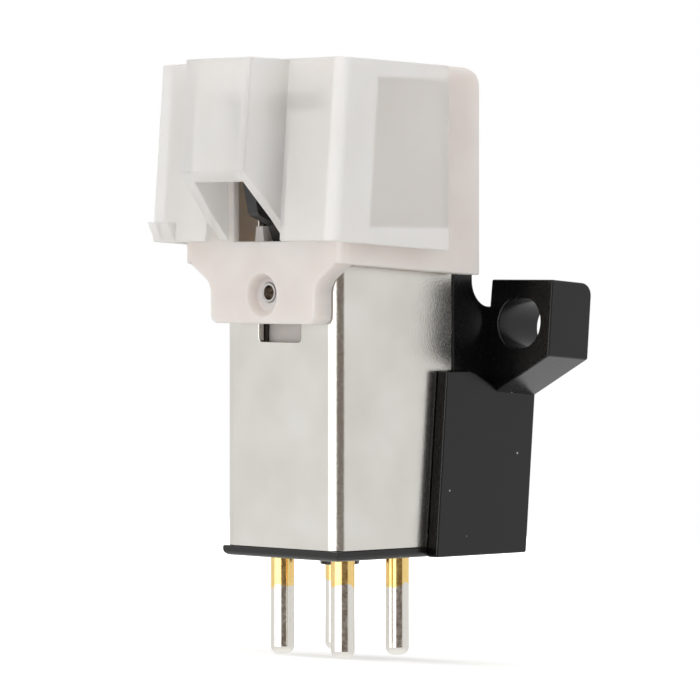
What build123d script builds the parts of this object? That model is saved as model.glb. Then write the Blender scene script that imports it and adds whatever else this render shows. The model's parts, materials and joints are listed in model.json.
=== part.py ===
from build123d import *
import os
from math import cos, radians, tan

os.makedirs("parts", exist_ok=True)

# Half-inch moving-magnet phono cartridge, in millimetres.
# Part frame: origin between the two mounting slots on the headshell face,
# +X across, +Y out of the headshell face, +Z towards the stylus nose.
# Can frame: the same X, v towards the headshell from the can's record-facing
# wall, w towards the nose from the can's base. The can leans by RAKE.

# Mounting
HOLE_SPACING = 12.7         # centre to centre of the mounting slots
SLOT_WIDTH = 2.6            # slot for a 2.5 mm screw
SLOT_STRETCH = 0.35         # slot longer than wide, along X
EAR_THICK = 2.89            # ear, headshell face to screw side
EAR_MARGIN = 2.22           # slot centre to the ear's end
EAR_TOP = 2.2               # slot centre to the ear's nose edge
EAR_HEEL = 1.65             # slot centre to the ear's lower edge, at its end
EAR_GUSSET = 1.88           # further drop of that edge at the block
EAR_EDGE_R = 0.65           # rounding of the ear's nose edge on the headshell face
RAKE = 4.55                 # degrees, can axis against the headshell face
CAN_DROP = 12.59            # headshell face to the can's lower front edge
CAN_SETBACK = 12.12         # slots to that edge, along the headshell face

# Shield can, one folded sheet open at the back
CAN_WIDTH = 8.45
CAN_DEPTH = 7.95
CAN_LENGTH = 21.8
CAN_SHEET = 0.35
CAN_BEND_R = 0.55
WINDOW_WIDTH = 3.1          # slot in the record-facing wall, open at the nose
WINDOW_SHOW = 0.92          # slot seen below the tongue
WINDOW_R = 0.2

# Fits
SEAT_GAP = 0.03             # between fixed mouldings
SLIDE_GAP = 0.05            # between pieces that slide by hand
CORE_GAP = 0.1              # round the coil parts

# Terminal base and pins
BASE_THICK = 0.5
BASE_LIP = 0.05             # base proud of the can
BASE_EDGE_R = 0.3
TENON_HEIGHT = 1.2          # part of the base inside the can
BOSS_RADIUS = 1.0           # gate boss under the base
BOSS_HEIGHT = 0.45
PIN_DIAMETER = 1.2
PIN_LENGTH = 5.04           # below the base
PIN_ROOT = 0.8              # diameter inside the base
PIN_TOP = 0.4               # top of the tenon down to the top of the pin
PIN_END_R = 0.4
PIN_SIDE_INSET = 2.03       # base's side edge to the pin's centre
PIN_FRONT_INSET = 2.28      # base's front edge to the front pins
PIN_REAR_INSET = 1.93       # can's back edge to the rear pins

# Mount bracket
FLANGE_WALL = 0.72          # cheek beside the can
FLANGE_LAP = 1.75           # cheek's reach along the can's side, at the base
FLANGE_TOP = 8.9            # can base to the cheek's top
SCOOP_DROP = 0.84           # dip of the cheek's top towards the ear
SCOOP_R = 1.4
NECK_TOP = 12.1             # can base to the top of the neck between the ears
NECK_PROUD = 0.04           # neck wider than the can, each side
BACK_WALL = 0.45            # wall behind the can, thickness at the can base
BACK_WALL_R = 1.35          # hollow where that wall meets the neck
BRACKET_EDGE_R = 0.4

# Stylus holder: hood, tongue and plug
HOOD_TILT = 3.5             # degrees, hood's lower edge against the can
NOSE_TILT = 2.0             # degrees, hood's nose against the can
HOOD_GAP = 0.5              # can's side to the hood's inside
HOOD_WALL = 1.2
HOOD_FACE = 1.25            # can's front to the hood's record-facing face
HOOD_FACE_WALL = 0.45
HOOD_LAP = 1.18             # top of the tongue down to the hood's lower edge
HOOD_TOP_WALL = 1.05
NOSE_ROOM = 1.6             # can's nose end to the hood's roof, at the can's front
HOOD_BACK_OVER = 0.3        # hood's back edge past the can's
HOOD_CORNER_R = 1.0
HOOD_SIDE_R = 0.45          # rounding along the nose's sides
HOOD_EDGE_R = 0.5           # rounding up the record-facing edges
RAIL_WIDTH = 0.8            # guide rails inside the hood
RAIL_INSET = 1.6            # rails from the can's front and back edges
SHELF_DROP = 6.38           # can's nose end down to the top of the tongue
TONGUE_WALL = 0.95
TONGUE_WIDTH = 7.75
TONGUE_BAND = 0.82          # full width, below the top of the tongue
TONGUE_FLARE = 1.3          # narrowing below that
TONGUE_DROP = 2.0           # straight part below that
TONGUE_SWEEP_R = 0.9
TONGUE_CORNER_R = 0.45
TONGUE_EDGE_R = 0.12
OPENING_WIDTH = 4.2         # slot in the hood's face above the tongue
OPENING_BAR = 0.87          # cross opening near the hood's nose
BROW = 1.73                 # hood's nose down to that opening
DISH_RISE = 1.42            # tongue's lower end to the dished hole
DISH_RADIUS = 1.1
DISH_DEPTH = 0.5
LOCK_PIN_DIAMETER = 0.95
LOCK_PIN_LENGTH = 0.75
LOCK_PIN_BORE = 0.74
LOCK_PIN_BORE_DEPTH = 0.5
LOCK_PIN_RISE = 0.14        # above the dish's centre
PLUG_FRONT = 0.6            # can's front to the plug's face
PLUG_DEPTH = 3.8
PLUG_RISE = 0.78            # plug above the tongue
PLUG_LENGTH = 6.3

# Stylus guard
GUARD_WALL = 0.4            # record-facing wall
GUARD_SIDE = 0.6            # side walls
GUARD_ROOM = 0.41           # hood's side to the guard's, round the pads
GUARD_CORNER_R = 0.3
GUARD_RIM = 1.02            # hood's lower edge to the guard's
GUARD_LAP = 5.12            # guard's reach along the hood's side, from the can's front
GUARD_FACE = 3.8            # record-facing wall, from the can's front edge at the base
GUARD_SHORT = 0.1           # guard's nose edge short of the hood's
CHANNEL_WIDTH = 3.4         # stylus channel between its cheeks
CHANNEL_CHEEK = 0.7
CHANNEL_PLATE = 0.5
CHANNEL_REACH = 2.3         # channel past the record-facing wall
CHANNEL_RISE = 3.45         # top of the tongue to the channel's lower end, at its front
CHANNEL_SLANT = 48.8        # degrees, that end against the can's cross section
CHEEK_FLARE = 0.35          # wider apart at the wall than at the plate
CHEEK_GAP = 0.37            # cheeks short of the hood's face
PAD_START = 2.15            # record-facing wall to the pads that grip the hood
PAD_MARGIN = 0.85           # pads to the guard's nose and rim edges
LIP_WIDTH = 1.6             # finger ridge at one lower corner
LIP_REACH = 0.6
LIP_HEIGHT = 1.0

# Cantilever in its damper
PIVOT_DEPTH = 1.3           # can's front to the pivot
PIVOT_DROP = 2.22           # top of the tongue down to the pivot
ARM_ANGLE = 24.5            # degrees, cantilever against the can axis
ARM_LENGTH = 9.9            # pivot to the cantilever's end
ARM_ROOT = 0.6              # height of the arm above its axis, at its root
ARM_BELLY = 0.35            # and below its axis, towards the record
ARM_ROOT_WIDTH = 0.9
ARM_NECK = 3.5              # pivot to where the heel starts
ARM_HEEL = 1.35             # heel on the record side, below the arm's axis
ARM_HEEL_REACH = 4.5        # pivot to the heel's lowest point
ARM_HEEL_R = 0.4
ARM_END = 0.5
ARM_END_WIDTH = 0.55
STEM_DIAMETER = 0.84        # round stem in the damper
TAIL_LENGTH = 1.7           # tab that carries the magnets
TAIL_WIDTH = 0.24
MAGNET_WIDTH = 0.45
MAGNET_HEIGHT = 0.6
MAGNET_SETBACK = 0.2        # magnets behind the stem
DAMPER_RADIUS = 0.93
DAMPER_LENGTH = 1.0
DAMPER_PLAY = 0.08          # stem in the damper
TAIL_BORE = 0.88            # radius of the plug's bore behind the damper
TAIL_ROOM = 0.35            # bore past the tail
TIP_DIAMETER = 0.3
TIP_LENGTH = 0.55           # tip below the arm
TIP_CONE = 0.3
TIP_POINT = 0.04
TIP_SETBACK = 0.35          # tip from the arm's end

# Coils and cores
YOKE_HEIGHT = 0.8
LEG = 0.8
BOBBIN_WALL = 0.3
COIL_SPACE = 0.9            # between neighbouring bobbins
WINDING_RECESS = 0.12       # winding below the bobbin's flanges
POLE_BLOCK = 3.2            # height of the pole holder
POLE_SILL = 0.5             # pole holder's base below the plug
POLE_HEIGHT = 2.6

# Places worked out from the sizes
slope = tan(radians(RAKE))
can_half = CAN_WIDTH / 2
inner_half = can_half - CAN_SHEET
base_half = can_half + BASE_LIP
neck_half = can_half + NECK_PROUD
block_half = can_half + SEAT_GAP + FLANGE_WALL
hood_inner = can_half + HOOD_GAP
hood_half = hood_inner + HOOD_WALL
guard_inner = hood_half + GUARD_ROOM
guard_half = guard_inner + GUARD_SIDE
hood_back = CAN_DEPTH + HOOD_BACK_OVER
back_front = CAN_DEPTH + SEAT_GAP
plug_half = WINDOW_WIDTH / 2 - SLIDE_GAP
shelf = CAN_LENGTH - SHELF_DROP
hood_rim = shelf - HOOD_LAP
hood_roof = CAN_LENGTH + NOSE_ROOM
hood_top = hood_roof + HOOD_TOP_WALL
guard_rim = hood_rim + GUARD_RIM
guard_nose = hood_top - GUARD_SHORT
tongue_shoulder = shelf - TONGUE_BAND - TONGUE_FLARE
tongue_base = tongue_shoulder - TONGUE_DROP
dish_height = tongue_base + DISH_RISE
lock_pin_height = dish_height + LOCK_PIN_RISE
window_base = tongue_base - WINDOW_SHOW
plug_top = shelf + PLUG_RISE
plug_base = plug_top - PLUG_LENGTH
pivot_height = shelf - PIVOT_DROP
pin_side = base_half - PIN_SIDE_INSET
pin_rows = {"front": PIN_FRONT_INSET - BASE_LIP, "rear": CAN_DEPTH - PIN_REAR_INSET}
sides = {"left": -1, "right": 1}

can_frame = Location((0, -CAN_DROP, -CAN_SETBACK), (RAKE, 0, 0))
record_frame = Location((0, 0, 0), (-RAKE, 0, 0))
arm_frame = Location((0, PIVOT_DEPTH, pivot_height), (ARM_ANGLE, 0, 0))


def side_solid(outline, x_from, x_to):
    # An outline in (v, w) carried across X
    return extrude(Plane.YZ.offset(x_from) * outline, x_to - x_from)


def front_solid(outline, v_from, v_to):
    # An outline in (x, w) carried along v
    return extrude(Plane.XZ.offset(-v_from) * outline, v_from - v_to)


def block(x_from, x_to, v_from, v_to, w_from, w_to):
    corner = Location((x_from, v_from, w_from))
    return corner * Box(x_to - x_from, v_to - v_from, w_to - w_from, align=Align.MIN)


def corners(outline, points, radius):
    # Round the outline's corners nearest to the given points
    chosen = [outline.vertices().sort_by_distance((a, b, 0))[0] for a, b in points]
    return fillet(chosen, radius)


def mirrored(half):
    return half + mirror(half, Plane.YZ)


def raked(reach, height):
    # Depth, at a height, of a face parallel to the headshell
    return reach + slope * height


def tilted(rise, depth, lean=HOOD_TILT):
    # Height, at a depth, of an edge that leans against the can's cross section
    return rise - tan(radians(lean)) * depth


def meet(reach, rise, lean=HOOD_TILT):
    # Where a raked face and a leaning edge cross
    depth = (reach + slope * rise) / (1 + slope * tan(radians(lean)))
    return depth, tilted(rise, depth, lean)


def nosed(rise, depth):
    return tilted(rise, depth, NOSE_TILT)


def meet_nose(reach, rise):
    return meet(reach, rise, NOSE_TILT)


def headshell_reach():
    # The headshell face, as the reach of a raked face in the can frame
    lean = radians(RAKE)
    return CAN_DROP / cos(lean)


def save(node, shape, frame):
    export_step(frame * shape, f"parts/{node}.step")


# Shield can
def shield_can():
    outer = Polygon((-can_half, 0), (can_half, 0), (can_half, CAN_DEPTH), (-can_half, CAN_DEPTH), align=None)
    outer = corners(outer, [(-can_half, 0), (can_half, 0)], CAN_BEND_R)
    inner = Polygon(
        (-inner_half, CAN_SHEET),
        (inner_half, CAN_SHEET),
        (inner_half, CAN_DEPTH),
        (-inner_half, CAN_DEPTH),
        align=None,
    )
    inner = corners(inner, [(-inner_half, CAN_SHEET), (inner_half, CAN_SHEET)], CAN_BEND_R - CAN_SHEET)
    half = WINDOW_WIDTH / 2
    window = Polygon(
        (-half, window_base), (half, window_base), (half, CAN_LENGTH), (-half, CAN_LENGTH), align=None
    )
    window = corners(window, [(-half, window_base), (half, window_base)], WINDOW_R)
    return extrude(outer - inner, CAN_LENGTH) - front_solid(window, 0, CAN_SHEET)


# Terminal base: plate, tenon inside the can, gate boss, pin holes
def terminal_base():
    flange_front = raked(CAN_DEPTH - FLANGE_LAP, -BASE_THICK) - SEAT_GAP
    plate = block(-base_half, base_half, -BASE_LIP, flange_front, -BASE_THICK, 0)
    plate += block(-can_half, can_half, flange_front, CAN_DEPTH, -BASE_THICK, 0)
    front_edges = plate.edges().group_by(Axis.Z)[0].group_by(Axis.Y)[0]
    side_edges = plate.edges().group_by(Axis.Z)[0].filter_by(Axis.Y)
    outer = [e for e in side_edges if abs(e.center().X) > can_half]
    plate = fillet(list(front_edges) + outer, BASE_EDGE_R)
    tenon = block(
        CORE_GAP - inner_half,
        inner_half - CORE_GAP,
        CAN_SHEET + CORE_GAP,
        CAN_DEPTH,
        0,
        TENON_HEIGHT,
    )
    middle = (pin_rows["front"] + pin_rows["rear"]) / 2
    boss = Location((0, middle, -BASE_THICK - BOSS_HEIGHT)) * Cylinder(
        BOSS_RADIUS, BOSS_HEIGHT, align=(Align.CENTER, Align.CENTER, Align.MIN)
    )
    base = plate + tenon + boss
    for depth in pin_rows.values():
        for side in sides.values():
            base -= pin_root(side, depth, SEAT_GAP)
    return base


def pin_root(side, depth, gap):
    top = TENON_HEIGHT - PIN_TOP
    root = Cylinder(PIN_ROOT / 2 + gap, BASE_THICK + top, align=(Align.CENTER, Align.CENTER, Align.MAX))
    return Location((side * pin_side, depth, top)) * root


def terminal_pin(side, depth):
    shank = Cylinder(PIN_DIAMETER / 2, PIN_LENGTH, align=(Align.CENTER, Align.CENTER, Align.MAX))
    shank = fillet(shank.edges().group_by(Axis.Z)[0], PIN_END_R)
    return pin_root(side, depth, 0) + Location((side * pin_side, depth, -BASE_THICK)) * shank


# Mount bracket: cheeks and block round the can, neck, back wall and slotted ears
def mount_bracket():
    mount = headshell_reach()
    flange = CAN_DEPTH - FLANGE_LAP
    ear_face = mount - EAR_THICK / cos(radians(RAKE))
    low = FLANGE_TOP - SCOOP_DROP
    scoop = raked(ear_face, low)
    cheek = Polygon(
        (raked(flange, -BASE_THICK), -BASE_THICK),
        (raked(mount, -BASE_THICK), -BASE_THICK),
        (raked(mount, low), low),
        (scoop, low),
        (scoop - 2 * SCOOP_DROP, FLANGE_TOP),
        (raked(flange, FLANGE_TOP), FLANGE_TOP),
        align=None,
    )
    cheek = corners(cheek, [(scoop - 2 * SCOOP_DROP, FLANGE_TOP)], SCOOP_R)
    back = back_front + BACK_WALL
    neck = Polygon(
        (back_front, -BASE_THICK),
        (raked(mount, -BASE_THICK), -BASE_THICK),
        (raked(mount, NECK_TOP), NECK_TOP),
        (raked(back, NECK_TOP), NECK_TOP),
        (raked(back, NECK_TOP), CAN_LENGTH),
        (back_front, CAN_LENGTH),
        align=None,
    )
    neck = corners(neck, [(raked(back, NECK_TOP), NECK_TOP)], BACK_WALL_R)
    body = side_solid(cheek, -block_half, block_half)
    body = fillet(body.edges().filter_by(Axis.Z, tolerance=RAKE + 1).group_by(Axis.Y)[0], BRACKET_EDGE_R)
    body += side_solid(neck, -neck_half, neck_half)
    pocket = can_half + SEAT_GAP
    body -= block(-pocket, pocket, 0, back_front, -BASE_THICK, CAN_LENGTH)
    body = can_frame * body + mirrored(ear())
    for side in sides.values():
        slot = Rot(90, 0, 0) * SlotOverall(SLOT_WIDTH + SLOT_STRETCH, SLOT_WIDTH)
        body -= Location((side * HOLE_SPACING / 2, 0, 0)) * extrude(slot, EAR_THICK)
    return body


def ear():
    end = HOLE_SPACING / 2 + EAR_MARGIN
    heel = EAR_HEEL + EAR_GUSSET
    outline = Polygon(
        (can_half, EAR_TOP),
        (can_half, -heel),
        (block_half, -heel),
        (end, -EAR_HEEL),
        (end, EAR_TOP),
        align=None,
    )
    solid = front_solid(outline, -EAR_THICK, 0)
    nose_edge = solid.edges().filter_by(Axis.X).group_by(Axis.Z)[-1].group_by(Axis.Y)[-1]
    return fillet(nose_edge, EAR_EDGE_R)


# Stylus holder
def stylus_holder():
    hood = hood_shell()
    tongue = front_solid(tongue_outline(), -HOOD_FACE, TONGUE_WALL - HOOD_FACE)
    hood += fillet(tongue.faces().sort_by(Axis.Y)[0].edges(), TONGUE_EDGE_R) & hood_plan()
    web_base = tongue_base + SEAT_GAP
    hood += block(-plug_half, plug_half, TONGUE_WALL - HOOD_FACE, PLUG_FRONT, web_base, plug_top)
    hood += block(-plug_half, plug_half, PLUG_FRONT, PLUG_FRONT + PLUG_DEPTH, plug_base, plug_top)
    hood -= pivot_bore()
    dish = Location((0, -HOOD_FACE, dish_height), (-90, 0, 0)) * Cone(
        DISH_RADIUS, DISH_RADIUS - DISH_DEPTH / 2, DISH_DEPTH, align=(Align.CENTER, Align.CENTER, Align.MIN)
    )
    return hood - dish - lock_pin_blank(SEAT_GAP)


def hood_shell():
    top_corner = (hood_back, nosed(hood_top, hood_back))
    outline = Polygon(
        (-HOOD_FACE, tilted(hood_rim, -HOOD_FACE)),
        (hood_back, tilted(hood_rim, hood_back)),
        top_corner,
        (-HOOD_FACE, nosed(hood_top, -HOOD_FACE)),
        align=None,
    )
    shell = side_solid(corners(outline, [top_corner], HOOD_CORNER_R), -hood_half, hood_half)
    shell &= hood_plan() & hood_crown()
    inside = HOOD_FACE_WALL - HOOD_FACE
    cavity = Polygon(
        (inside, 0),
        (hood_back, 0),
        (hood_back, nosed(hood_roof, hood_back)),
        (inside, nosed(hood_roof, inside)),
        align=None,
    )
    shell -= side_solid(cavity, -hood_inner, hood_inner)
    for depth in (RAIL_INSET, CAN_DEPTH - RAIL_INSET):
        rail_base = tilted(hood_rim, depth + RAIL_WIDTH / 2) + HOOD_WALL
        rail_top = nosed(hood_roof, depth - RAIL_WIDTH / 2)
        shell += mirrored(
            block(
                can_half + SLIDE_GAP,
                hood_inner,
                depth - RAIL_WIDTH / 2,
                depth + RAIL_WIDTH / 2,
                rail_base,
                rail_top,
            )
        )
    brow = hood_top - BROW
    half = OPENING_WIDTH / 2
    shell -= block(-half, half, -HOOD_FACE, inside, shelf, brow)
    return shell - block(-hood_inner, hood_inner, -HOOD_FACE, inside, brow - OPENING_BAR, brow)


def hood_plan():
    plan = Polygon(
        (-hood_half, -HOOD_FACE),
        (hood_half, -HOOD_FACE),
        (hood_half, hood_back),
        (-hood_half, hood_back),
        align=None,
    )
    front = [(-hood_half, -HOOD_FACE), (hood_half, -HOOD_FACE)]
    return extrude(corners(plan, front, HOOD_EDGE_R), 2 * CAN_LENGTH)


def hood_crown():
    # Rounded over both sides of the nose, along its lean
    section = Polygon(
        (-hood_half, -hood_top),
        (hood_half, -hood_top),
        (hood_half, 0),
        (-hood_half, 0),
        align=None,
    )
    section = corners(section, [(-hood_half, 0), (hood_half, 0)], HOOD_SIDE_R)
    lean = Location((0, 0, hood_top), (-NOSE_TILT, 0, 0))
    return lean * front_solid(section, -CAN_DEPTH, 2 * CAN_DEPTH)


def tongue_outline():
    half = TONGUE_WIDTH / 2
    flare = shelf - TONGUE_BAND
    outline = Polygon(
        (-hood_half, shelf),
        (-hood_half, flare),
        (-half, tongue_shoulder),
        (-half, tongue_base),
        (half, tongue_base),
        (half, tongue_shoulder),
        (hood_half, flare),
        (hood_half, shelf),
        align=None,
    )
    outline = corners(outline, [(-half, tongue_shoulder), (half, tongue_shoulder)], TONGUE_SWEEP_R)
    lower = [(-half, tongue_base), (half, tongue_base), (-hood_half, flare), (hood_half, flare)]
    return corners(outline, lower, TONGUE_CORNER_R)


def pivot_bore():
    # Wide ahead of the damper's back face, narrower round the magnets
    step = -DAMPER_LENGTH / 2 - SEAT_GAP
    tail = DAMPER_LENGTH / 2 + TAIL_LENGTH + TAIL_ROOM
    upright = (Align.CENTER, Align.CENTER, Align.MIN)
    wide = Location((0, 0, step)) * Cylinder(DAMPER_RADIUS + SLIDE_GAP, ARM_LENGTH, align=upright)
    narrow = Location((0, 0, -tail)) * Cylinder(TAIL_BORE, tail, align=upright)
    return arm_frame * (wide + narrow)


def lock_pin_blank(gap):
    start = DISH_DEPTH - HOOD_FACE
    return Location((0, start, lock_pin_height), (-90, 0, 0)) * Cylinder(
        LOCK_PIN_DIAMETER / 2 + gap, LOCK_PIN_LENGTH + gap, align=(Align.CENTER, Align.CENTER, Align.MIN)
    )


def lock_pin():
    start = DISH_DEPTH - HOOD_FACE
    bore = Location((0, start, lock_pin_height), (-90, 0, 0)) * Cylinder(
        LOCK_PIN_BORE / 2, LOCK_PIN_BORE_DEPTH, align=(Align.CENTER, Align.CENTER, Align.MIN)
    )
    return lock_pin_blank(0) - bore


# Stylus guard: a wall in plan, trimmed by its side outline, with the channel over the stylus
def stylus_guard():
    face_out, face_in = -GUARD_FACE, GUARD_WALL / cos(radians(RAKE)) - GUARD_FACE
    reach_out = face_out - CHANNEL_REACH
    half = CHANNEL_WIDTH / 2 + CHEEK_FLARE
    walls = guard_walls() & side_solid(guard_side(face_out, GUARD_LAP), -guard_half, guard_half)
    walls -= side_solid(guard_side(face_out, raked(face_in, guard_nose)), -half, half)
    outer = half + CHANNEL_CHEEK
    front, back = cheek_slant(reach_out)
    below = Polygon(front, (front[0], 0), (back[0], 0), back, align=None)
    walls -= mirrored(side_solid(below, half, outer))
    pad = side_solid(pad_outline(), hood_half + SLIDE_GAP, guard_inner)
    cheek = cheek_plan(reach_out, face_out) & side_solid(cheek_outline(reach_out), 0, outer)
    guard = walls + mirrored(pad + cheek) + finger_lip(face_out)
    reach_in = reach_out + CHANNEL_PLATE
    floor = shelf + CHANNEL_RISE
    inner_floor = floor - CHANNEL_PLATE * tan(radians(CHANNEL_SLANT))
    plate = Polygon(
        meet_nose(reach_out, guard_nose),
        (raked(reach_out, floor), floor),
        (raked(reach_in, inner_floor), inner_floor),
        meet_nose(reach_in, guard_nose),
        align=None,
    )
    cap = Polygon(
        meet_nose(reach_out, guard_nose),
        meet_nose(reach_out, guard_nose - GUARD_WALL),
        meet_nose(face_in, guard_nose - GUARD_WALL),
        meet_nose(face_in, guard_nose),
        align=None,
    )
    return guard + side_solid(plate, -half, half) + side_solid(cap, -half, half)


def cheek_slant(reach_out):
    # Both ends of the slanted lower edge, from the channel's plate to short of the hood's face
    floor = shelf + CHANNEL_RISE
    start = raked(reach_out, floor)
    end = -HOOD_FACE - CHEEK_GAP
    return (start, floor), (end, floor - (end - start) * tan(radians(CHANNEL_SLANT)))


def cheek_plan(reach_out, face_out):
    # Spread from the channel's plate to the record-facing wall
    half = CHANNEL_WIDTH / 2
    root = half + CHEEK_FLARE
    front, back = reach_out * cos(radians(RAKE)), face_out * cos(radians(RAKE))
    plan = Polygon(
        (half, front),
        (half + CHANNEL_CHEEK, front),
        (root + CHANNEL_CHEEK, back),
        (root + CHANNEL_CHEEK, 0),
        (root, 0),
        (root, back),
        align=None,
    )
    return record_frame * extrude(plan, guard_nose + GUARD_FACE)


def cheek_outline(reach_out):
    front, back = cheek_slant(reach_out)
    corner = (back[0], nosed(guard_nose, back[0]))
    return Polygon(corner, meet_nose(reach_out, guard_nose), front, back, align=None)


def guard_walls():
    # Three walls in plan, carried along the headshell's direction
    front = -GUARD_FACE * cos(radians(RAKE))
    back = front + GUARD_FACE + CAN_DEPTH
    outer = Polygon(
        (-guard_half, front), (guard_half, front), (guard_half, back), (-guard_half, back), align=None
    )
    outer = corners(outer, [(-guard_half, front), (guard_half, front)], GUARD_CORNER_R)
    inside = front + GUARD_WALL
    inner = Polygon(
        (-guard_inner, inside), (guard_inner, inside), (guard_inner, back), (-guard_inner, back), align=None
    )
    return record_frame * extrude(outer - inner, guard_nose + GUARD_FACE)


def guard_side(face, back):
    return Polygon(
        meet(face, guard_rim),
        (back, tilted(guard_rim, back)),
        (back, nosed(guard_nose, back)),
        meet_nose(face, guard_nose),
        align=None,
    )


def finger_lip(face):
    # A short ridge on the record-facing wall's lower edge, at one corner
    foot = meet(face, guard_rim)
    top = foot[1] + LIP_HEIGHT
    ridge = Polygon(
        foot,
        (raked(face, foot[1]) + GUARD_WALL, foot[1]),
        (raked(face, top) + GUARD_WALL, top),
        (raked(face, top) - LIP_REACH, top),
        align=None,
    )
    corner = GUARD_CORNER_R - guard_half
    return side_solid(ridge, corner, corner + LIP_WIDTH)


def pad_outline():
    start = PAD_START - GUARD_FACE
    low, high = guard_rim + PAD_MARGIN, guard_nose - PAD_MARGIN
    return Polygon(
        meet(start, low),
        (GUARD_LAP, tilted(low, GUARD_LAP)),
        (GUARD_LAP, nosed(high, GUARD_LAP)),
        meet_nose(start, high),
        align=None,
    )


# Cantilever, drawn along its own axis with the record towards -v
def cantilever():
    start = DAMPER_LENGTH / 2 + DAMPER_PLAY
    upright = (Align.CENTER, Align.CENTER, Align.MIN)
    tip_half = ARM_END / 2
    heel = (-ARM_HEEL, ARM_HEEL_REACH)
    side = Polygon(
        (-ARM_BELLY, start),
        (ARM_ROOT, start),
        (tip_half, ARM_LENGTH),
        (-tip_half, ARM_LENGTH),
        heel,
        (-ARM_BELLY, ARM_NECK),
        align=None,
    )
    plan = Polygon(
        (-ARM_ROOT_WIDTH / 2, start),
        (ARM_ROOT_WIDTH / 2, start),
        (ARM_END_WIDTH / 2, ARM_LENGTH),
        (-ARM_END_WIDTH / 2, ARM_LENGTH),
        align=None,
    )
    arm = side_solid(corners(side, [heel], ARM_HEEL_R), -ARM_ROOT_WIDTH / 2, ARM_ROOT_WIDTH / 2)
    arm &= front_solid(plan, -ARM_HEEL, ARM_ROOT)
    arm += Location((0, 0, -start)) * Cylinder(STEM_DIAMETER / 2, 2 * start, align=upright)
    tail = MAGNET_HEIGHT / 2
    arm += block(-TAIL_WIDTH / 2, TAIL_WIDTH / 2, -tail, tail, -start - TAIL_LENGTH, -start)
    return arm - tip_blank(SEAT_GAP)


def tip_blank(gap):
    seat = Location((0, -ARM_END / 2 - TIP_LENGTH + TIP_CONE, ARM_LENGTH - TIP_SETBACK), (-90, 0, 0))
    length = TIP_LENGTH - TIP_CONE + ARM_END + TIP_DIAMETER / 2
    return seat * Cylinder(TIP_DIAMETER / 2 + gap, length, align=(Align.CENTER, Align.CENTER, Align.MIN))


def stylus_tip():
    point = Location((0, -ARM_END / 2 - TIP_LENGTH, ARM_LENGTH - TIP_SETBACK), (-90, 0, 0))
    cone = Cone(TIP_POINT / 2, TIP_DIAMETER / 2, TIP_CONE, align=(Align.CENTER, Align.CENTER, Align.MIN))
    return tip_blank(0) + point * cone


def magnet(side):
    stem = -DAMPER_LENGTH / 2 - DAMPER_PLAY
    inner, high = TAIL_WIDTH / 2, MAGNET_HEIGHT / 2
    body = block(inner, inner + MAGNET_WIDTH, -high, high, stem - TAIL_LENGTH, stem - MAGNET_SETBACK)
    return body if side > 0 else mirror(body, Plane.YZ)


def damper():
    ball = Sphere(DAMPER_RADIUS) & Cylinder(DAMPER_RADIUS, DAMPER_LENGTH)
    return ball - Cylinder(STEM_DIAMETER / 2 + DAMPER_PLAY, DAMPER_LENGTH)


# Coils: a U-shaped core for each channel, a bobbin and winding on each leg
yoke_top = TENON_HEIGHT + YOKE_HEIGHT
pole_base = plug_base - POLE_SILL
bobbin_base = yoke_top + CORE_GAP
bobbin_length = pole_base - CORE_GAP - bobbin_base
bobbin_width = inner_half - CORE_GAP - COIL_SPACE / 2
bobbin_depth = (CAN_DEPTH - CAN_SHEET - 2 * CORE_GAP - COIL_SPACE) / 2
leg_x = COIL_SPACE / 2 + bobbin_width / 2
leg_rows = {
    "front": CAN_SHEET + CORE_GAP + bobbin_depth / 2,
    "rear": CAN_DEPTH - CORE_GAP - bobbin_depth / 2,
}


def core(side):
    near, far = leg_rows["front"] - LEG / 2, leg_rows["rear"] + LEG / 2
    inner, outer = leg_x - LEG / 2, leg_x + LEG / 2
    body = block(inner, outer, near, far, TENON_HEIGHT, pole_base)
    body -= block(inner, outer, near + LEG, far - LEG, yoke_top, pole_base)
    return body if side > 0 else mirror(body, Plane.YZ)


def centred(side, depth, width, length, base, height):
    place = Location((side * leg_x, depth, base))
    return place * Box(width, length, height, align=(Align.CENTER, Align.CENTER, Align.MIN))


def bobbin(side, depth):
    bore = LEG + 2 * SLIDE_GAP
    tube = bore + 2 * BOBBIN_WALL
    body = centred(side, depth, tube, tube, bobbin_base, bobbin_length)
    for base in (bobbin_base, bobbin_base + bobbin_length - BOBBIN_WALL):
        body += centred(side, depth, bobbin_width, bobbin_depth, base, BOBBIN_WALL)
    return body - centred(side, depth, bore, bore, bobbin_base, bobbin_length)


def winding(side, depth):
    tube = LEG + 2 * SLIDE_GAP + 2 * BOBBIN_WALL
    width, length = bobbin_width - 2 * WINDING_RECESS, bobbin_depth - 2 * WINDING_RECESS
    base, height = bobbin_base + BOBBIN_WALL, bobbin_length - 2 * BOBBIN_WALL
    body = centred(side, depth, width, length, base, height)
    body = fillet(body.edges().filter_by(Axis.Z), BOBBIN_WALL)
    return body - centred(side, depth, tube, tube, base, height)


# Pole pieces: on the core's legs, with tips beside the plug
def pole_piece(side, row, gap):
    inner = plug_half + 2 * SLIDE_GAP + BOBBIN_WALL - gap
    outer = leg_x + LEG / 2 + gap
    depth = leg_rows[row]
    near, far = depth - LEG / 2 - gap, depth + LEG / 2 + gap
    tip = near
    if row == "rear":
        tip = min(near, PLUG_FRONT + PLUG_DEPTH - LEG - gap)
    foot = block(inner, outer, tip, far, pole_base, pole_base + LEG + gap)
    body = foot + block(inner, outer, tip, tip + LEG + 2 * gap, pole_base, pole_base + POLE_HEIGHT + gap)
    return body if side > 0 else mirror(body, Plane.YZ)


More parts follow.
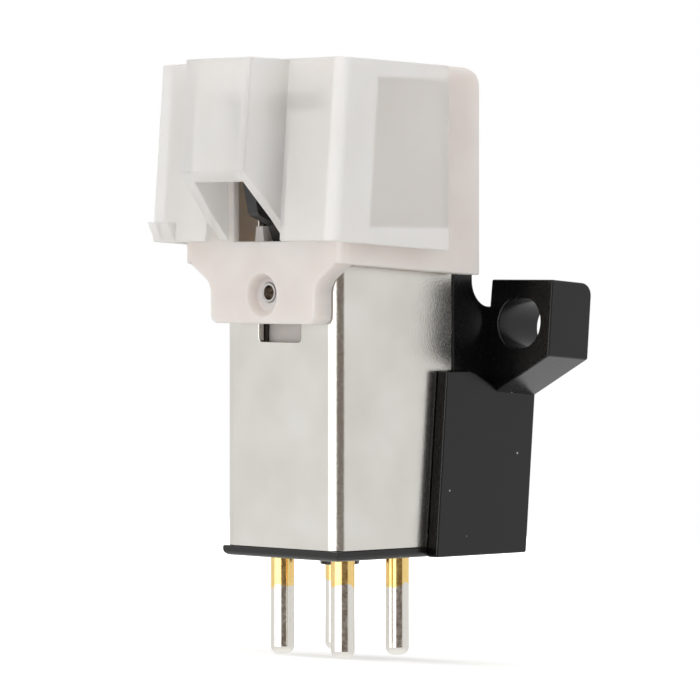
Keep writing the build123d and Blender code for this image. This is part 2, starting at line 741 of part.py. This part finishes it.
def pole_holder():
    front = CAN_SHEET + CORE_GAP
    body = block(
        CORE_GAP - inner_half, inner_half - CORE_GAP, front, CAN_DEPTH, pole_base, pole_base + POLE_BLOCK
    )
    socket = plug_half + SLIDE_GAP
    back = PLUG_FRONT + PLUG_DEPTH + SLIDE_GAP
    body -= block(-socket, socket, front, back, pole_base, pole_base + POLE_BLOCK)
    for side in sides.values():
        for row in leg_rows:
            body -= pole_piece(side, row, SEAT_GAP)
    return body


here = Location((0, 0, 0))
save("shield_can", shield_can(), can_frame)
save("terminal_base", terminal_base(), can_frame)
save("mount_bracket", mount_bracket(), here)
save("pole_holder", pole_holder(), can_frame)
pin_roles = {"front": "signal", "rear": "ground"}
for name, side in sides.items():
    save(f"core_{name}", core(side), can_frame)
    save(f"magnet_{name}", magnet(side), can_frame * arm_frame)
    for row, depth in pin_rows.items():
        save(f"pin_{name}_{pin_roles[row]}", terminal_pin(side, depth), can_frame)
    for row, depth in leg_rows.items():
        save(f"bobbin_{name}_{row}", bobbin(side, depth), can_frame)
        save(f"winding_{name}_{row}", winding(side, depth), can_frame)
        save(f"pole_{name}_{row}", pole_piece(side, row, 0), can_frame)
save("stylus_holder", stylus_holder(), can_frame)
save("lock_pin", lock_pin(), can_frame)
save("stylus_guard", stylus_guard(), can_frame)
save("damper", damper(), can_frame * arm_frame)
save("cantilever", cantilever(), can_frame * arm_frame)
save("stylus_tip", stylus_tip(), can_frame * arm_frame)
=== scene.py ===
import json
import math

import bmesh
import bpy
from mathutils import Matrix, Vector


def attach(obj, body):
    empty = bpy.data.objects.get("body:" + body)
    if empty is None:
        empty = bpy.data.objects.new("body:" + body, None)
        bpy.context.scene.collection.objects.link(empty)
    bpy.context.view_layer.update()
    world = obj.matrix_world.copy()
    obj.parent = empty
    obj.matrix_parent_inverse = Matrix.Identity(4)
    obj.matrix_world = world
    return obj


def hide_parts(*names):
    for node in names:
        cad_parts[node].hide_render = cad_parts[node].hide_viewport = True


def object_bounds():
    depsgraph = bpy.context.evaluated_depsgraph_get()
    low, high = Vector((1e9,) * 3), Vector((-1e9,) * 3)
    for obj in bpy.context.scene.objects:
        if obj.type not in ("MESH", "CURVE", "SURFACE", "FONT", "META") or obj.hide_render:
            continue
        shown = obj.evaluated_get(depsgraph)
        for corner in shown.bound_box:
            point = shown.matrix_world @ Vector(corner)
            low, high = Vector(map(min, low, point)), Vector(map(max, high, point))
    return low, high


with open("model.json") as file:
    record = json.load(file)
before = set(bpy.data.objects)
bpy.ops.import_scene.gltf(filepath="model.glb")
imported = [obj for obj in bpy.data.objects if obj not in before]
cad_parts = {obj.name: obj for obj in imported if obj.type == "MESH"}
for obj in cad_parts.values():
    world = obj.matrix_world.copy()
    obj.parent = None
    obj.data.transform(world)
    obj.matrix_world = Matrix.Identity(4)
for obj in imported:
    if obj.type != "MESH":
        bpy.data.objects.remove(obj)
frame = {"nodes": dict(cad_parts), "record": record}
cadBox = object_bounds()
print("frame loaded")

mm = 0.001
can = {  # the can's own frame: u across, v towards the headshell, w towards the nose
    "lean": math.radians(4.55),
    "corner": Vector((0, -12.59, -12.12)) * mm,  # lower front edge, mid width
}
canTurn = Matrix.Rotation(can["lean"], 3, "X")
rake = math.tan(can["lean"])  # the headshell's face leaves the can by so much along it
bodyOf = {
    node: body for body, nodes in frame["record"]["behaviour"]["bodies"].items() for node in nodes
}
slotOf = {row["node"]: row["material_slot"] for row in frame["record"]["subparts"]}


def canWay(u, v, w):
    return canTurn @ Vector((u, v, w))


def canPoint(u, v, w):
    return can["corner"] + canWay(u, v, w) * mm


def inCan(point):  # back to mm in the can's frame
    return canTurn.inverted() @ (point - can["corner"]) / mm


def linear(text):  # sRGB hex to a linear colour
    parts = [int(text[i:i + 2], 16) / 255 for i in (1, 3, 5)]
    return (*[c / 12.92 if c <= 0.04045 else ((c + 0.055) / 1.055) ** 2.4 for c in parts], 1)


def addNode(tree, kind, inputs=None, **settings):
    node = tree.nodes.new(kind)
    for name, value in settings.items():
        setattr(node, name, value)
    for name, value in (inputs or {}).items():
        if isinstance(value, bpy.types.NodeSocket):
            tree.links.new(value, node.inputs[name])
        else:
            node.inputs[name].default_value = value
    return node


def startMaterial(name, **sockets):
    material = bpy.data.materials.new(name)
    material.use_nodes = True
    tree = material.node_tree
    shader = tree.nodes["Principled BSDF"]
    for socket, value in sockets.items():
        shader.inputs[socket.replace("_", " ")].default_value = value
    place = addNode(tree, "ShaderNodeTexCoord").outputs["Object"]
    return material, tree, shader, place


noiseRange = (0.3, 0.7)  # where most of a noise texture's values lie


# Skin in the gloss and the bump, slow drift in the colour, sizes in mm
def surfaceFinish(name, look, **sockets):
    material, tree, shader, place = startMaterial(name, **sockets)
    turned = addNode(tree, "ShaderNodeMapping", {
        "Vector": place, "Rotation": (-can["lean"], 0, 0),
    }).outputs["Vector"]
    skin = addNode(tree, "ShaderNodeTexNoise", {
        "Vector": turned, "Scale": 1 / (look["grain"] * mm), "Detail": 3,
    }).outputs["Fac"]
    gloss = addNode(tree, "ShaderNodeMapRange", {
        "Value": skin, "From Min": noiseRange[0], "From Max": noiseRange[1],
        "To Min": look["roughness"][0], "To Max": look["roughness"][1],
    })
    tree.links.new(gloss.outputs["Result"], shader.inputs["Roughness"])
    bump = addNode(tree, "ShaderNodeBump", {"Height": skin, "Distance": look["depth"] * mm})
    tree.links.new(bump.outputs["Normal"], shader.inputs["Normal"])
    cloud = addNode(tree, "ShaderNodeTexNoise", {
        "Vector": turned, "Scale": 1 / (look["cloud"] * mm),
    }).outputs["Fac"]
    drift = addNode(tree, "ShaderNodeMapRange", {
        "Value": cloud, "From Min": noiseRange[0], "From Max": noiseRange[1],
    }).outputs["Result"]
    colour = addNode(tree, "ShaderNodeMix", {
        0: drift, 6: linear(look["colour"]), 7: linear(look["shade"]),
    }, data_type="RGBA").outputs[2]
    tree.links.new(colour, shader.inputs["Base Color"])
    return material, tree, shader, place, colour


def canPlace(tree, place):  # across, deep and high in the can's frame, in mm
    fromCorner = addNode(tree, "ShaderNodeVectorMath", {
        0: place, 1: can["corner"],
    }, operation="SUBTRACT")
    turned = addNode(tree, "ShaderNodeMapping", {
        "Vector": fromCorner.outputs["Vector"], "Rotation": (-can["lean"], 0, 0),
        "Scale": (1 / mm, 1 / mm, 1 / mm),
    })
    return addNode(tree, "ShaderNodeSeparateXYZ", {"Vector": turned.outputs["Vector"]}).outputs


# Nickel-plated steel sheet, rolled: bright, soft-edged reflections with a fine grain,
# drawn coarser than the real one so that it shows
nickel = {
    "colour": "#dcdad4", "shade": "#d2cfc8", "cloud": 3.5, "roughness": (0.19, 0.26),
    "grain": 0.1, "depth": 0.0045,
}
nickelSheet = surfaceFinish("nickel_plated_sheet", nickel, Metallic=1)[0]

# Ivory ABS, moulded: smooth and even, with a faint unevenness in its gloss
ivory = {
    "colour": "#e7dfdb", "shade": "#e2d9d4", "cloud": 2.2, "roughness": (0.36, 0.46),
    "grain": 0.25, "depth": 0.0015, "lightDepth": 1.6,
}
ivoryAbs = surfaceFinish(
    "ivory_abs", ivory, IOR=1.53, Subsurface_Weight=0.75, Subsurface_Radius=(1, 0.85, 0.75),
    Subsurface_Scale=ivory["lightDepth"] * mm,
)[0]

# Frosted polystyrene, moulded: milky, blurs what is behind it and lets the light through to it
frost = {
    "colour": "#fbfaf8", "shade": "#f8f6f3", "cloud": 3.0, "roughness": (0.34, 0.42),
    "grain": 0.3, "depth": 0.002,
    "through": 0.9,  # of the light that reaches what is behind
    "clear": 0.62,  # elsewhere, and clearer by so much in a zone
    "zones": {  # a zone grows from 0 to 1 between two places, mm in the can's frame
        "side": {"clearer": -0.36, "edges": (("outward", 5.9, 6.1),)},
        "pad": {"clearer": 0.4, "edges": (
            ("outward", 5.9, 6.1), ("raked", -1.75, -1.55),
            ("high", 16.0, 16.2), ("high", 23.6, 23.4),
        )},
        "plate": {"clearer": -0.12, "edges": (("raked", -5.75, -5.95),)},
        "cheek": {"clearer": -0.3, "edges": (
            ("outward", 1.5, 1.7), ("raked", -6.05, -5.85), ("raked", -3.9, -5.4),
        )},
    },
}
frostedStyrene, tree, shader, place, colour = surfaceFinish("frosted_polystyrene", frost, IOR=1.35)
path = addNode(tree, "ShaderNodeLightPath")
lets = addNode(tree, "ShaderNodeMath", {
    0: path.outputs["Is Shadow Ray"], 1: frost["through"],
}, operation="MULTIPLY")
clear = addNode(tree, "ShaderNodeBsdfTransparent")
either = addNode(tree, "ShaderNodeMixShader", {
    0: lets.outputs["Value"], 1: shader.outputs["BSDF"], 2: clear.outputs["BSDF"],
})
tree.links.new(either.outputs["Shader"], tree.nodes["Material Output"].inputs["Surface"])
across, deep, high = canPlace(tree, place)
raked = addNode(tree, "ShaderNodeMath", {0: high, 1: -rake, 2: deep}, operation="MULTIPLY_ADD")
outward = addNode(tree, "ShaderNodeMath", {0: across}, operation="ABSOLUTE")
measured = {"high": high, "raked": raked.outputs["Value"], "outward": outward.outputs["Value"]}
clarity = frost["clear"]
for zone in frost["zones"].values():
    inside = 1.0
    for measure, start, end in zone["edges"]:
        step = addNode(tree, "ShaderNodeMapRange", {
            "Value": measured[measure], "From Min": start, "From Max": end,
        }).outputs["Result"]
        both = addNode(tree, "ShaderNodeMath", {0: inside, 1: step}, operation="MULTIPLY")
        inside = both.outputs["Value"]
    clarity = addNode(tree, "ShaderNodeMath", {
        0: inside, 1: zone["clearer"], 2: clarity,
    }, operation="MULTIPLY_ADD").outputs["Value"]
tree.links.new(clarity, shader.inputs["Transmission Weight"])

# Black ABS, moulded: satin black with a fine skin and a few specks of dust
black = {
    "colour": "#070708", "shade": "#0a0a0b", "cloud": 2.5, "roughness": (0.2, 0.28),
    "grain": 0.18, "depth": 0.001,
    "dust": "#b9b6b0", "speckSpacing": 2.4, "speck": (0.018, 0.028),  # in spacings
}
blackAbs, tree, shader, place, colour = surfaceFinish(
    "black_abs", black, IOR=1.46, Specular_IOR_Level=0.44,
)
specks = addNode(tree, "ShaderNodeTexVoronoi", {
    "Vector": place, "Scale": 1 / (black["speckSpacing"] * mm),
})
speck = addNode(tree, "ShaderNodeMapRange", {
    "Value": specks.outputs["Distance"], "From Min": black["speck"][1], "From Max": black["speck"][0],
})
dusty = addNode(tree, "ShaderNodeMix", {
    0: speck.outputs["Result"], 6: colour, 7: linear(black["dust"]),
}, data_type="RGBA")
tree.links.new(dusty.outputs[2], shader.inputs["Base Color"])

# Gold-plated brass pins, dipped in tin at the free end: warm above an uneven line, silvery below
pin = {
    "colour": "#f3d490", "shade": "#efcd84", "cloud": 1.5, "roughness": (0.12, 0.26),
    "grain": 0.2, "depth": 0.0005,
    "tin": "#dedbd4", "line": -2.0, "wander": 0.25, "lumps": 1.1, "blur": 0.04,  # line from the can's foot
}
goldPin, tree, shader, place, colour = surfaceFinish("gold_plated_brass_tinned", pin, Metallic=1)
turned = addNode(tree, "ShaderNodeMapping", {
    "Vector": place, "Rotation": (-can["lean"], 0, 0),
}).outputs["Vector"]
height = addNode(tree, "ShaderNodeSeparateXYZ", {"Vector": turned}).outputs["Z"]
lumps = addNode(tree, "ShaderNodeTexNoise", {
    "Vector": turned, "Scale": 1 / (pin["lumps"] * mm),
}).outputs["Fac"]
wander = addNode(tree, "ShaderNodeMapRange", {
    "Value": lumps, "From Min": noiseRange[0], "From Max": noiseRange[1],
    "To Min": -pin["wander"] * mm, "To Max": pin["wander"] * mm,
}).outputs["Result"]
raised = addNode(tree, "ShaderNodeMath", {0: height, 1: wander}, operation="ADD").outputs["Value"]
lineHeight = (canTurn.inverted() @ canPoint(0, 0, pin["line"])).z
tinned = addNode(tree, "ShaderNodeMapRange", {
    "Value": raised,
    "From Min": lineHeight + pin["blur"] * mm, "From Max": lineHeight - pin["blur"] * mm,
}).outputs["Result"]
dipped = addNode(tree, "ShaderNodeMix", {
    0: tinned, 6: colour, 7: linear(pin["tin"]),
}, data_type="RGBA")
tree.links.new(dipped.outputs[2], shader.inputs["Base Color"])

# Turned steel: bright, with turning marks too fine to see one by one, and painted shade that darkens its
# colour down the bore
lockPin = {
    "colour": "#c9c7c4", "shade": "#b4b2af", "cloud": 0.6, "roughness": (0.18, 0.3),
    "grain": 0.12, "depth": 0.001,
    # The bore's darker grey is painted shade, growing between two depths in the bore
    "paintedBoreShade": "#9a9086", "bore": (-0.72, -0.5),  # from and to, mm behind the can's front
}
turnedSteel, tree, shader, place, colour = surfaceFinish("turned_steel", lockPin, Metallic=1)
across, deep, high = canPlace(tree, place)
# Painted shade: the steel's colour is mixed towards a darker grey deeper in the bore
down = addNode(tree, "ShaderNodeMapRange", {
    "Value": deep, "From Min": lockPin["bore"][0], "From Max": lockPin["bore"][1],
})
boreShaded = addNode(tree, "ShaderNodeMix", {
    0: down.outputs["Result"], 6: colour, 7: linear(lockPin["paintedBoreShade"]),
}, data_type="RGBA")
tree.links.new(boreShaded.outputs[2], shader.inputs["Base Color"])

# Finishes that hardly show, each with what it gives the eye, sizes in mm
plainLooks = {
    "black_phenolic": {  # pressed board, dull black with a brown cast
        "colour": "#12100f", "shade": "#171413", "cloud": 0.9, "roughness": (0.2, 0.28),
        "grain": 0.18, "depth": 0.001, "IOR": 1.46,
    },
    "rolled_iron": {  # grey and dull, from annealing
        "colour": "#a5a5a6", "shade": "#919193", "cloud": 1.5, "roughness": (0.3, 0.42),
        "grain": 0.3, "depth": 0.001, "Metallic": 1,
    },
    "ground_magnet": {  # dark grey, ground matt
        "colour": "#8f8f92", "shade": "#7a7a7e", "cloud": 0.5, "roughness": (0.35, 0.5),
        "grain": 0.1, "depth": 0.001, "Metallic": 1,
    },
    # Painted shade: this nylon is drawn dark so that it stands for the shade in the gap behind the can's
    # slot
    "grey_nylon": {  # moulded, dark, matt and waxy
        "colour": "#4a4642", "shade": "#413d39", "cloud": 1.5, "roughness": (0.4, 0.55),
        "grain": 0.3, "depth": 0.002, "IOR": 1.53,
    },
    "soft_rubber": {  # moulded, dead black and dusty matt
        "colour": "#171717", "shade": "#1c1c1c", "cloud": 0.5, "roughness": (0.6, 0.75),
        "grain": 0.1, "depth": 0.002, "IOR": 1.52,
    },
    "carbon_filled_plastic": {  # moulded, near black with a faint sparkle
        "colour": "#141414", "shade": "#1b1b1c", "cloud": 0.4, "roughness": (0.38, 0.55),
        "grain": 0.08, "depth": 0.0015, "IOR": 1.53,
    },
    "polished_diamond": {  # polished, hard grey glint
        "colour": "#9a9aa0", "shade": "#8c8c92", "cloud": 0.5, "roughness": (0.08, 0.16),
        "grain": 0.1, "depth": 0.0002, "Metallic": 0.6,
    },
    "enamelled_copper": {  # drawn wire under clear enamel, warm and glossy
        "colour": "#b8703d", "shade": "#a4602f", "cloud": 0.5, "roughness": (0.25, 0.4),
        "grain": 0.1, "depth": 0.002, "Metallic": 1,
    },
}
plainFinishes = {}
for name, look in plainLooks.items():
    sockets = {socket: look[socket] for socket in ("IOR", "Metallic") if socket in look}
    plainFinishes[name] = surfaceFinish(name, look, **sockets)[0]

finishes = {  # by the record's slots
    "nickel_sheet": nickelSheet, "ivory_plastic": ivoryAbs, "frosted_plastic": frostedStyrene,
    "black_plastic": blackAbs, "gold_pin": goldPin, "steel": turnedSteel,
    "black_base": plainFinishes["black_phenolic"], "grey_plastic": plainFinishes["grey_nylon"],
    "core_iron": plainFinishes["rolled_iron"], "copper_wire": plainFinishes["enamelled_copper"],
    "black_rubber": plainFinishes["soft_rubber"], "magnet": plainFinishes["ground_magnet"],
    "carbon_plastic": plainFinishes["carbon_filled_plastic"],
    "tip": plainFinishes["polished_diamond"],
}
print("finishes made:", len(finishes))

touch = 0.01  # mm, for picking vertices by their place in the can's frame

# The bracket's cheeks are as good as square where they lap the can
cheekEdge = {"half": 4.975, "front": 6.2, "round": 0.42}  # mm in the can's frame


def squareCheeks(mesh):
    inner, behind = cheekEdge["half"] - cheekEdge["round"], cheekEdge["front"] + cheekEdge["round"]
    for vert in mesh.verts:
        u, v, w = inCan(vert.co)
        if abs(u) > inner and v - w * rake < behind:
            vert.co = canPoint(math.copysign(cheekEdge["half"], u), cheekEdge["front"] + w * rake, w)


# The tongue's back lies on the can
tongue = {"back": -0.3, "meets": -0.03, "web": 1.6, "top": 15.3}  # mm in the can's frame


def layTongue(mesh):
    back = []
    for vert in mesh.verts:
        u, v, w = inCan(vert.co)
        if abs(v - tongue["back"]) < touch and (w < tongue["top"] or abs(u) > tongue["web"]):
            back.append(vert)
    shift = canWay(0, tongue["meets"] - tongue["back"], 0) * mm
    bmesh.ops.translate(mesh, verts=back, vec=shift)


# The press leaves the can's two front bends rounder outside than their inside needs
bend = {"half": 4.225, "solid": 0.55, "pressed": 0.72}  # mm in the can's frame


def easeBends(mesh):
    for vert in mesh.verts:
        u, v, w = inCan(vert.co)
        out = Vector((abs(u) - bend["half"] + bend["solid"], v - bend["solid"]))
        if out.x > -touch and out.y < touch and abs(out.length - bend["solid"]) < touch:
            out = out.normalized() * bend["pressed"]
            across = bend["half"] - bend["pressed"] + out.x
            vert.co = canPoint(math.copysign(across, u), bend["pressed"] + out.y, w)


reshape = {"mount_bracket": squareCheeks, "stylus_holder": layTongue, "shield_can": easeBends}

# Moulded and pressed pieces get their edges broken, as the tool or the die leaves them
edgeRadius = {
    "shield_can": 0.05, "terminal_base": 0.06, "mount_bracket": 0.09,
    "stylus_holder": 0.08, "stylus_guard": 0.09,
}
corner = {
    "merge": 1e-7, "flat": math.radians(0.5), "sharp": math.radians(28), "steps": 2,
    "smooth": math.cos(math.radians(50)),
}


def cornerNormals(mesh):  # each corner leans to the larger of the faces that meet there smoothly
    weights = {face: face.normal * face.calc_area() for face in mesh.faces}
    normals = []
    for face in mesh.faces:
        for loop in face.loops:
            near = [f for f in loop.vert.link_faces if f.normal.dot(face.normal) > corner["smooth"]]
            normals.append(sum((weights[f] for f in near), Vector()).normalized())
    return normals


def putPiece(name, mesh, material, body):
    data = bpy.data.meshes.new(name)
    mesh.normal_update()
    for face in mesh.faces:
        face.smooth = True
    normals = cornerNormals(mesh)
    mesh.to_mesh(data)
    mesh.free()
    data.normals_split_custom_set(normals)
    piece = bpy.data.objects.new(name, data)
    bpy.context.scene.collection.objects.link(piece)
    data.materials.append(material)
    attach(piece, body)
    return piece


def breakEdges(node, radius):
    mesh = bmesh.new()
    mesh.from_mesh(frame["nodes"][node].data)
    if node in reshape:
        reshape[node](mesh)
    bmesh.ops.remove_doubles(mesh, verts=mesh.verts, dist=corner["merge"])
    bmesh.ops.dissolve_limit(mesh, angle_limit=corner["flat"], verts=mesh.verts, edges=mesh.edges)
    sharp = [
        e for e in mesh.edges if e.is_manifold and e.is_convex and e.calc_face_angle() > corner["sharp"]
    ]
    bmesh.ops.bevel(
        mesh, geom=sharp, offset=radius * mm, offset_type="OFFSET", affect="EDGES",
        segments=corner["steps"], profile=0.5, material=-1, clamp_overlap=False,
    )
    slot = slotOf[node]
    piece = putPiece(node + "_finished", mesh, finishes[slot], bodyOf[node])
    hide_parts(node)


for node, radius in edgeRadius.items():
    breakEdges(node, radius)
for name, node in frame["nodes"].items():
    if name not in edgeRadius:
        node.data.materials.clear()
        node.data.materials.append(finishes[slotOf[name]])
print("pieces dressed")

# Camera as the photograph's, level with the can and turned to its corner
camera = {
    "place": (174.11, -159.12, 14.39), "turn": math.radians(46.72),  # in the can's frame, mm
    "focal": 4700, "frame": 700, "drop": 88,  # pixels
    "sensor": 36, "near": 0.01,  # mm and metres
}
pitch = math.atan(camera["drop"] / camera["focal"])
level = Vector((-math.sin(camera["turn"]), math.cos(camera["turn"]), 0))
aim = canWay(*(level * math.cos(pitch) - Vector((0, 0, 1)) * math.sin(pitch)))
side = canWay(math.cos(camera["turn"]), math.sin(camera["turn"]), 0)
above = side.cross(aim)
cameraData = bpy.data.cameras.new("camera")
cameraData.sensor_width = camera["sensor"]
cameraData.lens = camera["focal"] / camera["frame"] * camera["sensor"]
cameraData.clip_start = camera["near"]
cameraObject = bpy.data.objects.new("camera", cameraData)
turn = Matrix((side, above, -aim)).transposed().to_4x4()
cameraObject.matrix_world = Matrix.Translation(canPoint(*camera["place"])) @ turn
bpy.context.scene.collection.objects.link(cameraObject)
bpy.context.scene.camera = cameraObject

# Pale paper floor under the pins, kept white to the camera but for the shadow
floor = {
    "colour": "#f2f1ef", "rough": 0.9, "half": 3.0,  # metres
    "glow": (0.4, 1.2), "fade": (0.02, 0.12),  # grows between two distances in metres
}
floorMesh = bmesh.new()
bmesh.ops.create_grid(floorMesh, x_segments=2, y_segments=2, size=floor["half"])
bmesh.ops.translate(floorMesh, verts=floorMesh.verts, vec=(0, 0, cadBox[0][2]))
floorData = bpy.data.meshes.new("floor")
floorMesh.to_mesh(floorData)
floorMesh.free()
floorObject = bpy.data.objects.new("floor", floorData)
bpy.context.scene.collection.objects.link(floorObject)
floorMaterial, tree, shader, place = startMaterial(
    "white_paper", Roughness=floor["rough"], Base_Color=linear(floor["colour"]), Emission_Color=(1, 1, 1, 1),
)
path = addNode(tree, "ShaderNodeLightPath")
away = addNode(tree, "ShaderNodeVectorMath", {0: place}, operation="LENGTH").outputs["Value"]
grows = addNode(tree, "ShaderNodeMapRange", {
    "Value": away, "From Min": floor["fade"][0], "From Max": floor["fade"][1],
    "To Min": floor["glow"][0], "To Max": floor["glow"][1],
}).outputs["Result"]
glow = addNode(tree, "ShaderNodeMath", {
    0: path.outputs["Is Camera Ray"], 1: grows,
}, operation="MULTIPLY")
tree.links.new(glow.outputs["Value"], shader.inputs["Emission Strength"])
clear = addNode(tree, "ShaderNodeBsdfTransparent")
either = addNode(tree, "ShaderNodeMixShader", {
    0: path.outputs["Is Glossy Ray"], 1: shader.outputs["BSDF"], 2: clear.outputs["BSDF"],
})
tree.links.new(either.outputs["Shader"], tree.nodes["Material Output"].inputs["Surface"])
floorData.materials.append(floorMaterial)

# White studio, plain white to the camera. The metal shows a bright panel in front of the can
# and a dim gap beside the camera, both level with the can, and the floor's white from below
studio = {
    "fill": 0.72,
    "dim": (0.14, 0.1, 0.07),
    "panels": (  # degrees round from the can's front, brightness in the metal
        (-180, 0.9), (-37, 0.95), (-32, 2.4), (32, 2.4),
        (35, "dim"), (92, "dim"), (100, 0.95), (180, 0.95),
    ),
    "height": (6, 13),  # degrees off the can's level, where the panels begin and end to fade
    "beyond": 0.93,
    "below": 1.15, "belowFrom": (-0.22, -0.75),  # between two sines of the angle down
}
world = bpy.data.worlds.new("studio")
bpy.context.scene.world = world
world.use_nodes = True
tree = world.node_tree
way = addNode(tree, "ShaderNodeTexCoord").outputs["Generated"]
ahead, aside, steep = [
    addNode(tree, "ShaderNodeVectorMath", {0: way, 1: axis}, operation="DOT_PRODUCT").outputs["Value"]
    for axis in (canWay(0, -1, 0), canWay(1, 0, 0), canWay(0, 0, 1))
]
around = addNode(tree, "ShaderNodeMath", {0: aside, 1: ahead}, operation="ARCTAN2").outputs["Value"]
share = addNode(tree, "ShaderNodeMapRange", {
    "Value": around, "From Min": -math.pi, "From Max": math.pi,
})
panels = addNode(tree, "ShaderNodeValToRGB", {"Fac": share.outputs["Result"]})
stops = panels.color_ramp.elements
given = len(stops)  # a new ramp has its two ends
for stop, (degrees, bright) in enumerate(studio["panels"]):
    at = (degrees + 180) / 360
    element = stops[stop] if stop < given else stops.new(at)
    element.position = at
    element.color = (*(studio["dim"] if bright == "dim" else (bright, bright, bright)), 1)
offLevel = addNode(tree, "ShaderNodeMath", {0: steep}, operation="ABSOLUTE").outputs["Value"]
fadeFrom, fadeTo = [math.sin(math.radians(degrees)) for degrees in studio["height"]]
faded = addNode(tree, "ShaderNodeMapRange", {
    "Value": offLevel, "From Min": fadeFrom, "From Max": fadeTo,
}).outputs["Result"]
beyond = addNode(tree, "ShaderNodeMapRange", {
    "Value": steep, "From Min": studio["belowFrom"][0], "From Max": studio["belowFrom"][1],
    "To Min": studio["beyond"], "To Max": studio["below"],
}).outputs["Result"]
mirrored = addNode(tree, "ShaderNodeMix", {
    0: faded, 6: panels.outputs["Color"], 7: beyond,
}, data_type="RGBA").outputs[2]
path = addNode(tree, "ShaderNodeLightPath")
inMetal = addNode(tree, "ShaderNodeMix", {
    0: path.outputs["Is Glossy Ray"], 6: (studio["fill"], studio["fill"], studio["fill"], 1), 7: mirrored,
}, data_type="RGBA").outputs[2]
plain = addNode(tree, "ShaderNodeMath", {
    0: path.outputs["Is Camera Ray"], 1: path.outputs["Is Transmission Ray"],
}, operation="MAXIMUM").outputs["Value"]
whole = addNode(tree, "ShaderNodeMix", {
    0: plain, 6: inMetal, 7: (1, 1, 1, 1),
}, data_type="RGBA")
tree.links.new(whole.outputs[2], tree.nodes["Background"].inputs["Color"])

lamps = {  # where they stand about the can, in degrees from its front and above it, metres and watts
    "key": {"turn": -8, "rise": 24, "away": 0.6, "size": 0.5, "power": 0.9},
    "top": {"turn": 60, "rise": 75, "away": 0.6, "size": 0.6, "power": 0.45},
    "side": {"turn": 100, "rise": 25, "away": 0.6, "size": 0.4, "power": 0.15},
}
middle = canPoint(0, 4, 11)  # of the can
for name, lamp in lamps.items():
    around, rise = math.radians(lamp["turn"]), math.radians(lamp["rise"])
    out = canWay(
        math.sin(around) * math.cos(rise), -math.cos(around) * math.cos(rise), math.sin(rise),
    )
    lampData = bpy.data.lights.new(name, "AREA")
    lampData.energy = lamp["power"]
    lampData.size = lamp["size"]
    lampObject = bpy.data.objects.new(name, lampData)
    bpy.context.scene.collection.objects.link(lampObject)
    facing = out.to_track_quat("Z", "Y").to_matrix().to_4x4()
    lampObject.matrix_world = Matrix.Translation(middle + out * lamp["away"]) @ facing
bpy.context.scene.view_settings.view_transform = "Standard"
print("studio set")
